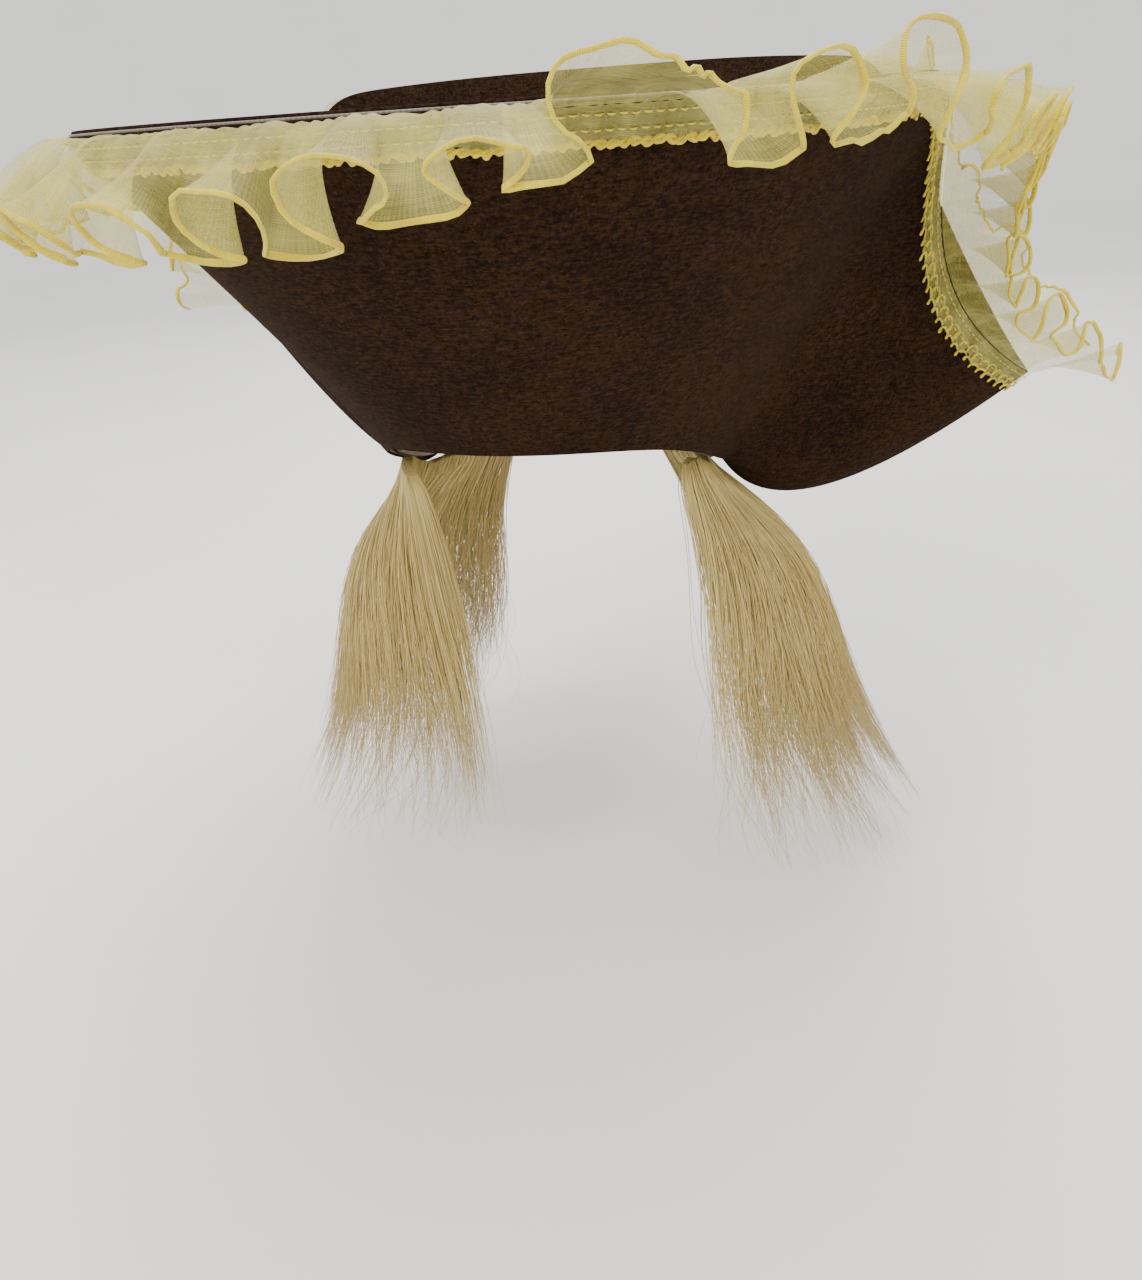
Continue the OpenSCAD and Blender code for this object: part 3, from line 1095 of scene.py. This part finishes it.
@dataclass
class Trim:
    """Gathered organza ribbon round the brim: header, stitches, ruffle, edging and braid.

    gather and header_gather are flat lengths over the edge's length.  They are
    assumed.  header_gather is not used: the header's flat coordinates take gather
    too.  The flutes' free border comes out longer than gather gives, and
    dress_run logs its own ratio.  flute is in millimetres, and the places and
    spreads of stretches of the brim are azimuths.
    """

    form: HatForm
    wardrobe: Wardrobe
    ruffle: float = 42 * MM
    header: float = 12 * MM
    gather: float = 1.9
    header_gather: float = 1.25
    step: float = 0.9 * MM
    rows: int = 30
    hang: float = 18
    swing: float = 27
    flute: float = 33
    tip_azimuth: float = 33.5
    stretch_azimuth: float = 20
    stretch_spread: float = 6.6
    end_azimuth: float = 113
    end_spread: float = 9
    roll: float = 6.5 * MM
    top_row: float = 3 * MM
    lower_row: float = 8 * MM
    runs: tuple = (Run("front", -111, 105), Run("right", 106.5, 179.6), Run("left", -179.6, -112.5))
    lifts: tuple = (
        Lift(-102, 12, -80),
        Lift(34, 33, -42),
        Lift(18, 4.4, -9),
        Lift(38, 5, -9),
        Lift(56, 11, 16),
        Lift(91, 14, -36),
        Lift(104, 6, -30),
        Lift(114, 10, -62),
        Lift(-119, 7, -22),
    )

    def angle(self, azimuth: np.ndarray) -> tuple[np.ndarray, np.ndarray]:
        """How the free edge is turned down from the face's outward direction.

        Args:
            azimuth: Azimuths of the stations.

        Returns:
            The middle angle, and how far the flutes swing to both sides of it.
        """
        middle = self.hang + sum(lift.at(azimuth) for lift in self.lifts)
        side = bump(azimuth, 88, 16, 4)
        calm = bump(azimuth, -101, 13, 4) + self.right_end(azimuth)
        low = 0.2 * bump(azimuth, 6, 7) + 0.25 * bump(azimuth, 16, 3.5)
        return middle, self.swing * (1 - 0.35 * side - 0.6 * calm - low)

    def right_end(self, azimuth: np.ndarray) -> np.ndarray:
        """Where the ruffle hangs in broad calm cloth, behind the right corner."""
        return bump(azimuth, self.end_azimuth, self.end_spread, 4)

    def flute_length(self, azimuth: np.ndarray) -> np.ndarray:
        """Length of edge that one flute takes: long on the walls and short beside the right corner."""
        length = self.flute - 7 * bump(azimuth, -8, 9) + 4 * bump(azimuth, 42, 12)
        return (length - 18 * bump(azimuth, 84, 15, 4)) * MM

    def phase(self, azimuth: np.ndarray, place: np.ndarray) -> np.ndarray:
        """Angle of the flutes, which grows by a turn in each flute's length.

        A hanging tip is held at tip_azimuth.  The flute at stretch_azimuth is
        drawn out by an odd bell, and its neighbours are pressed together.

        Args:
            azimuth: Azimuths of the stations.
            place: Their distances along the edge.

        Returns:
            The phase in radians: a crest at 0 and a hanging tip half a turn on.
        """
        rate = 2 * np.pi / self.flute_length(azimuth)
        grown = np.concatenate([[0], np.cumsum((rate[1:] + rate[:-1]) / 2 * np.diff(place))])
        tip = self.tip_azimuth
        anchor = np.interp(tip, azimuth, grown) if azimuth[0] < tip < azimuth[-1] else 0
        uneven = 0.5 * drift(place, 0.11, 5) * (1 - bump(azimuth, 30, 30, 4))
        stretch = (azimuth - self.stretch_azimuth) / self.stretch_spread
        uneven = uneven - 4.2 * stretch * np.exp(-(stretch**2))
        return grown - anchor + np.pi + uneven

    def cloth(self, azimuth: np.ndarray, place: np.ndarray) -> np.ndarray:
        """The ruffle's surface.

        Each line across the ribbon starts upright at the seam and bends over,
        with a fading turn of radius roll, to the angle of its flute.  Along it
        the cloth heads outward by the angle's cosine, down by its sine, and
        sideways by the sine of twice the phase, which folds the flutes over
        each other.  The headings are made 1 long and added up, so the cloth
        keeps its width.

        Args:
            azimuth: Azimuths of the stations.
            place: Their distances along the edge.

        Returns:
            Points, stations by rows by three.
        """
        form = self.form
        seam = form.edge(azimuth)
        frame_here = form.directions(azimuth, np.full(azimuth.shape, 0.97))
        around, up, out = (unit(smooth_along(v, 5)) for v in frame_here)
        phase = self.phase(azimuth, place)[:, None]
        middle, swing = (v[:, None] for v in self.angle(azimuth))
        swing = swing * (1 + 0.22 * drift(place, 0.06, 9)[:, None])
        share = np.linspace(0, 1, self.rows)[None]
        width = share * self.ruffle
        crest = -np.cos(phase + 0.35 * np.sin(phase))
        flare = share**0.55
        side = bump(azimuth, 90, 16, 4)[:, None]
        turn = middle + swing * crest * flare + 9 * drift(place, 0.03, 3)[:, None] * share**2
        turn = turn + (-82 - middle) * np.exp(-width / self.roll) * (1 - 0.7 * side)
        lean = 0.30 * np.tanh((azimuth[:, None] - 2) / 14) * bump(azimuth, 0, 70, 4)[:, None]
        open_fold = 0.40 - 0.18 * side - 0.28 * self.right_end(azimuth)[:, None]
        fold = open_fold * np.sin(2 * phase) * share + lean * flare
        fold = fold + 0.06 * drift(place, 0.013, 12)[:, None] * share
        radians = np.radians(turn)[..., None]
        heading = np.cos(radians) * out[:, None] - np.sin(radians) * up[:, None]
        heading = unit(heading + fold[..., None] * around[:, None])
        hop = self.ruffle / (self.rows - 1)
        cloth = np.cumsum(heading * hop, 1) - heading[:, :1] * hop
        across = np.cross(heading, around[:, None])
        pleat = 0.55 * MM * np.sin(2 * np.pi * place / (5.2 * MM) + 2 * drift(place, 0.03, 21))
        wave = 0.75 * MM * np.sin(2 * np.pi * place / (4.6 * MM) + 2 * drift(place, 0.02, 22))
        ripple = pleat[:, None] * np.exp(-width / (11 * MM)) * np.minimum(share * 12, 1)
        ripple = ripple + wave[:, None] * share**7
        start = seam + (1.5 * MM) * out + (0.2 * MM) * up
        return start[:, None] + cloth + ripple[..., None] * unit(across)

    def edging(self, name: str, cloth: np.ndarray, place: np.ndarray) -> bpy.types.Object:
        """The overlocked edge: an oval tube on the ruffle's free border, thick and thin by turns.

        Args:
            name: Name of the piece.
            cloth: The ruffle's points.
            place: Distances of its stations along the brim.

        Returns:
            The piece.
        """
        outward = unit(cloth[:, -1] - cloth[:, -3])
        along = unit(np.gradient(cloth[:, -1], axis=0))
        above = unit(np.cross(along, outward))
        outward = np.cross(above, along)
        thick = 1 + 0.16 * drift(place, 0.005, 31)
        wide = (1.0 * MM * thick)[:, None]
        path = cloth[:, -1] + outward * 0.5 * MM
        return tube_mesh(name, path[None], (outward * wide)[None], (above * 0.62 * MM)[None], 10)

    def band(self, azimuth: np.ndarray, place: np.ndarray) -> tuple[np.ndarray, np.ndarray]:
        """The header: a puckered strip on the face, from the edge down to the braid.

        Its lift is an even 0.9 mm plus waves as long as the stitches' puckers,
        which flatten at the two stitched rows.

        Args:
            azimuth: Azimuths of the stations.
            place: Their distances along the edge.

        Returns:
            Its points and its flat coordinates.
        """
        share = np.linspace(0, 1, 15)[None]
        scallop = 0.8 * MM * drift(place, 0.010, 41)[:, None]
        down = 0.3 * MM + (self.header - 0.3 * MM + scallop) * share
        pucker = np.sin(2 * np.pi * place / (4.4 * MM) + 2.2 * drift(place, 0.025, 42))[:, None]
        free = 1 - 0.75 * np.exp(-(((down - self.top_row) / (1.2 * MM)) ** 2))
        free = free - 0.75 * np.exp(-(((down - self.lower_row) / (1.2 * MM)) ** 2))
        lift = 0.95 * MM + 0.42 * MM * pucker * free
        turn = azimuth[:, None] + 0 * down
        points = self.form.off_face(turn, self.form.share_below(turn, down), lift)
        flat = np.stack([place[:, None] * self.gather + 0 * down, down], -1)
        return points, flat

    def braid(self, name: str, azimuth: np.ndarray, place: np.ndarray) -> bpy.types.Object:
        """Two looped threads along the header's lower edge.

        A thread follows a rolling circle: it goes back by the sine and across
        by the cosine of its phase.  The circle is small and the threads lie
        together on the walls; beside the right corner it is large, and the
        threads part into two rows of open loops.

        Args:
            name: Name of the piece.
            azimuth: Azimuths of the stations.
            place: Their distances along the edge.

        Returns:
            The piece.
        """
        fine = np.linspace(0, place[-1], int(place[-1] / (0.32 * MM)))
        turn = np.interp(fine, place, azimuth)
        loose = bump(turn, 88, 24, 6)
        paths, wides, lifts = [], [], []
        for row, first in ((0, 0.0), (1, 2.6)):
            size = (0.55 + 1.25 * loose + 0.25 * drift(fine, 0.012, 51 + row)) * MM
            pitch = (7.6 - 1.4 * loose) * MM
            phase = np.cumsum(2 * np.pi / pitch) * (fine[1] - fine[0]) + first
            shifted = np.clip(fine - size * np.sin(phase), 0, place[-1])
            here = np.interp(shifted, place, azimuth)
            down = self.header + 0.9 * MM + size * np.cos(phase) - row * loose * 4.6 * MM
            down = down + 0.5 * MM * drift(fine, 0.010, 41)
            lift = (1.05 + 0.45 * np.sin(phase + 1)) * MM
            path = self.form.off_face(here, self.form.share_below(here, down), lift)
            along = unit(smooth_along(np.gradient(path, axis=0), 1))
            out = self.form.directions(here, np.full(here.shape, 0.95))[2]
            side = unit(np.cross(along, out))
            thick = (0.85 - 0.32 * loose + 0.16 * drift(fine, 0.004, 61 + row))[:, None] * MM
            paths.append(path)
            wides.append(side * thick)
            lifts.append(unit(np.cross(side, along)) * thick * 0.8)
        return tube_mesh(name, np.stack(paths), np.stack(wides), np.stack(lifts), 6)

    def stitches(self, name: str, down: float) -> bpy.types.Object:
        """A row of stitches all round the header, each bowed and sunk at its ends.

        Args:
            name: Name of the piece.
            down: Distance of the row below the edge.

        Returns:
            The piece.
        """
        azimuth, place = self.form.evenly(-179.5, 179.5, 3.7 * MM)
        share = np.linspace(-0.5, 0.5, 6)
        spot = place[:, None] + 2.9 * MM * share
        turn = np.interp(spot, place, azimuth)
        below = down + 0.12 * MM * drift(spot, 0.006, 71)
        bow = (1.15 + 0.45 * (1 - (2 * share) ** 2)) * MM
        path = self.form.off_face(turn, self.form.share_below(turn, below), bow + 0 * turn)
        _, up, out = self.form.directions(turn, np.full(turn.shape, 0.96))
        thick = (0.30 * MM * np.maximum(rounded(np.abs(2 * share)), 0.25))[:, None]
        return tube_mesh(name, path, up * thick, out * thick, 6)

    def dress_run(self, run: Run) -> None:
        """Makes one run's ruffle, edging, header and braid.

        Args:
            run: The length of ribbon.
        """
        azimuth, place = self.form.evenly(run.first, run.last, self.step)
        cloth = self.cloth(azimuth, place)
        border = np.linalg.norm(np.diff(cloth[:, -1], axis=0), axis=1).sum()
        fullness = border / place[-1]
        width = np.linspace(0, self.ruffle, self.rows)
        uv = np.stack(np.broadcast_arrays(place[:, None] * self.gather, width), -1)
        add = self.wardrobe.add
        ruffle = sheet_mesh(f"organza_ruffle_{run.name}", cloth, uv)
        add(ruffle, Finish.RUFFLE, [f"ruffle_{run.name}"])
        hem = self.edging(f"gold_edge_{run.name}", cloth, place)
        add(hem, Finish.EDGING, [f"edging_{run.name}"])
        points, flat = self.band(azimuth, place)
        strip = sheet_mesh(f"organza_header_{run.name}", points, flat)
        add(strip, Finish.HEADER, [f"header_{run.name}"])
        braid = self.braid(f"looped_braid_{run.name}", azimuth, place)
        add(braid, Finish.BRAID, [f"braid_{run.name}"])
        log.info("%s ribbon: %.3f m of edge, free border %.2f to 1", run.name, place[-1], fullness)

    def build(self) -> None:
        """Makes the three runs and the two rows of stitches."""
        for run in self.runs:
            self.dress_run(run)
        for name, down in (("top", self.top_row), ("lower", self.lower_row)):
            row = self.stitches(f"gold_stitches_{name}", down)
            self.wardrobe.add(row, Finish.GOLD_THREAD, [f"header_{name}_stitches"])


# --- Hair ------------------------------------------------------------------


@dataclass(frozen=True)
class Lock:
    """A lock between two azimuths of the rim; shift draws its first strands in from the first one."""

    node: str
    first: float
    last: float
    seed: int
    shift: float = 0


@dataclass
class HairLocks:
    """Four locks of straight hair, each made of wisps of fine strands."""

    form: HatForm
    wardrobe: Wardrobe
    length: float = 0.250
    root_thick: float = 5.5 * MM
    full_thick: float = 16 * MM
    right_spread: float = 0.158
    left_spread: float = 0.160
    bulge: float = 0.38
    onset: float = 0.16
    tuck: float = 0.030
    face_azimuth: float = 48
    face_spread: float = 32
    strays: float = 0.11
    strands: int = 1480
    wisps: int = 64
    stations: int = 17
    locks: tuple = (
        Lock("hair_right_front", 52, 95, 11, 15),
        Lock("hair_right_rear", 98, 144, 12),
        Lock("hair_left_rear", -144, -98, 13),
        Lock("hair_left_front", -95, -52, 14),
    )

    def spread(self, azimuth: np.ndarray, share: np.ndarray) -> np.ndarray:
        """How far the hair stands outside its root.

        It turns in beside the face.  Behind the ears it bulges at once by a
        share of its spread, and reaches the rest with the square of the share
        of its length.

        Args:
            azimuth: Azimuths of the points.
            share: How far down the hair they are.

        Returns:
            Distances outside the root.
        """
        most = np.where(azimuth > 0, self.right_spread, self.left_spread)
        most = most * (1 - 0.4 * bump(np.abs(azimuth), 150, 25))
        grown = self.bulge * (1 - np.exp(-((share / self.onset) ** 1.5)))
        grown = grown + (1 - self.bulge) * share**2
        face = bump(np.abs(azimuth), self.face_azimuth, self.face_spread)
        return most * grown * (1 - face) - self.tuck * face * share**0.8

    def strands_of(self, lock: Lock) -> tuple[np.ndarray, np.ndarray, np.ndarray]:
        """The strands of a lock.

        A strand hangs from its root and drifts in azimuth and depth.  It is
        drawn towards its wisp as it falls, parts again at the tip, and bends
        in long waves.  Its radius shrinks from root to tip.

        Args:
            lock: The lock.

        Returns:
            Points (strands by stations by three), radii and a tone for each strand.
        """
        rng = np.random.default_rng(lock.seed)
        count, form = self.strands, self.form
        wisp = rng.integers(0, self.wisps, count)
        middle, half = (lock.first + lock.last) / 2, (lock.last - lock.first) / 2
        stray = (rng.random(count) < self.strays)[:, None]
        home = rng.uniform(-1, 1, self.wisps)[wisp][:, None]
        depth = rng.uniform(-0.42, 0.42, self.wisps)[wisp][:, None]
        own = rng.normal(0, 0.30, (count, 1))
        own_depth = rng.normal(0, 0.22, (count, 1))
        share = np.linspace(0, 1, self.stations)[None]
        reach = rng.uniform(0.70, 1.0, self.wisps)[wisp] * rng.uniform(0.62, 1.0, count) ** 0.8
        fall = share * np.clip(reach, 0.5, 1)[:, None]
        gather = 1 - 0.78 * fall**0.8 + 0.5 * np.clip(fall - 0.82, 0, 1) + 0.8 * stray * fall
        sway = rng.uniform(0, 2 * np.pi, (2, self.wisps))[:, wisp][..., None]
        bend = 0.15 * fall * np.sin(5 * fall + sway[0]) + 0.035 * fall * np.sin(15 * fall + sway[1])
        loose = 0.07 * fall * np.sin(9 * fall + rng.uniform(0, 2 * np.pi, (count, 1)))
        across = np.clip(home + own * gather, -1, 1) + bend + loose * (1 + 3 * stray)
        azimuth = middle + half * (1 - 0.06 * fall) * across + lock.shift * (1 - across) / 2
        swell = np.sin(np.pi * fall**0.7)
        thick = self.root_thick + (self.full_thick - self.root_thick) * swell + 2 * MM * fall
        inward = -2 * MM - self.root_thick / 2
        off = inward + self.spread(azimuth, fall)
        off = off + thick * (np.clip(depth + own_depth * gather, -0.5, 0.5) + 1.6 * bend + loose)
        top = np.minimum(form.rim_height(middle), form.rim_height(azimuth)) - 1.5 * MM
        points = form.beside(azimuth, off, top - fall * self.length)
        size = rng.uniform(0.10, 0.17, (count, 1)) * MM
        radius = size * (1 - 0.72 * share**2.2)
        tone = np.clip(rng.normal(0.5, 0.2, count) + rng.normal(0, 0.16, self.wisps)[wisp], 0, 1)
        return points, radius, tone

    def build(self) -> None:
        """Makes the four locks, each on its own body."""
        for lock in self.locks:
            points, radius, tone = self.strands_of(lock)
            along = unit(np.gradient(points, axis=1))
            across = unit(np.cross(along, np.array([0.3, 1.0, 0.1])))
            lift = np.cross(across, along)
            name = lock.node.replace("hair", "strands")
            wide = radius[..., None]
            piece = tube_mesh(name, points, across * wide * 1.5, lift * wide, 4, tone)
            self.wardrobe.add(piece, Finish.HAIR, [lock.node], lock.node)


# --- Studio ----------------------------------------------------------------


@dataclass
class Studio:
    """A pale floor and walls of soft light, with the camera before the hat's right front."""

    eye: tuple = (0.1187, -0.4976, 0.1253)
    dip: float = 13.73
    roll: float = -3.9
    lens: float = 28.125

    def camera(self) -> None:
        """Places the camera: it looks at the opening's centre, then dips and rolls."""
        eye = Vector(self.eye)
        ahead = -eye.normalized()
        right = ahead.cross(Vector((0, 0, 1))).normalized()
        up = right.cross(ahead)
        dip, roll = math.radians(self.dip), math.radians(self.roll)
        ahead, up = (
            ahead * math.cos(dip) - up * math.sin(dip),
            up * math.cos(dip) + ahead * math.sin(dip),
        )
        right, up = (
            right * math.cos(roll) + up * math.sin(roll),
            up * math.cos(roll) - right * math.sin(roll),
        )
        data = bpy.data.cameras.new("camera")
        data.lens, data.sensor_width, data.clip_start = self.lens, 36, 0.01
        camera = bpy.data.objects.new("camera", data)
        camera.matrix_world = Matrix(
            [[right[i], up[i], -ahead[i], eye[i]] for i in range(3)] + [[0, 0, 0, 1]]
        )
        bpy.context.scene.collection.objects.link(camera)
        bpy.context.scene.camera = camera

    def light(self, name: str, place: tuple, size: float, watts: float, colour: tuple) -> None:
        """A square soft light that looks at the hat.

        Args:
            name: Name of the light.
            place: Where it stands.
            size: Its side.
            watts: Its power.
            colour: Its colour.
        """
        data = bpy.data.lights.new(name, "AREA")
        data.size, data.energy, data.color = size, watts, colour
        light = bpy.data.objects.new(name, data)
        light.location = place
        aim = Vector((0, 0, 0.05)) - Vector(place)
        light.rotation_euler = aim.to_track_quat("-Z", "Y").to_euler()
        bpy.context.scene.collection.objects.link(light)

    def floor(self, level: float) -> None:
        """A wide floor that curves up into a far wall.

        Args:
            level: Its height.
        """
        turn = np.linspace(0, 2 * np.pi, 97)[:, None]
        out = np.linspace(0, 1, 60)[None] ** 1.5 * 6
        rise = np.clip(out - 4, 0, 2) ** 2 * 0.6
        x, y = out * np.cos(turn), out * np.sin(turn)
        points = np.stack(np.broadcast_arrays(x, y, level + rise), -1)[::-1]
        floor = sheet_mesh("floor", points, points[..., :2])
        paint = Paint("floor")
        grain = paint.noise(paint.place(), 3, 3, 0.5)
        tone = paint.blend(grain.between(0.3, 0.7), (0.86, 0.855, 0.84), (0.90, 0.895, 0.88))
        paint.finish(Base_Color=tone, Roughness=0.8, Specular_IOR_Level=0.2)
        floor.data.materials.append(paint.material)

    def build(self) -> None:
        """Makes the camera, floor, sky and lights."""
        self.camera()
        self.floor(CAD_BOX[0][2] - 4 * MM)
        world = bpy.data.worlds.new("sky")
        world.use_nodes = True
        sky = world.node_tree.nodes["Background"]
        sky.inputs["Color"].default_value = (0.93, 0.93, 0.92, 1)
        sky.inputs["Strength"].default_value = 1.35
        bpy.context.scene.world = world
        self.light("key", (-0.9, -1.5, 1.5), 1.0, 34, (1.0, 0.96, 0.90))
        self.light("fill", (1.4, -1.2, 0.5), 1.4, 10, (0.95, 0.97, 1.0))
        self.light("top", (0.1, 0.3, 1.7), 1.2, 22, (1.0, 0.98, 0.95))
        self.light("back", (-0.3, 1.7, 1.0), 1.4, 14, (1.0, 0.97, 0.92))


def main() -> None:
    """Builds the hat's pieces and the studio."""
    logging.basicConfig(level=logging.INFO, format="%(name)s: %(message)s")
    form, wardrobe = HatForm(), Wardrobe()
    Studio().build()
    Brim(form, wardrobe).build()
    Crown(form, wardrobe).build()
    Trim(form, wardrobe).build()
    HairLocks(form, wardrobe).build()


if __name__ == "__main__":
    main()
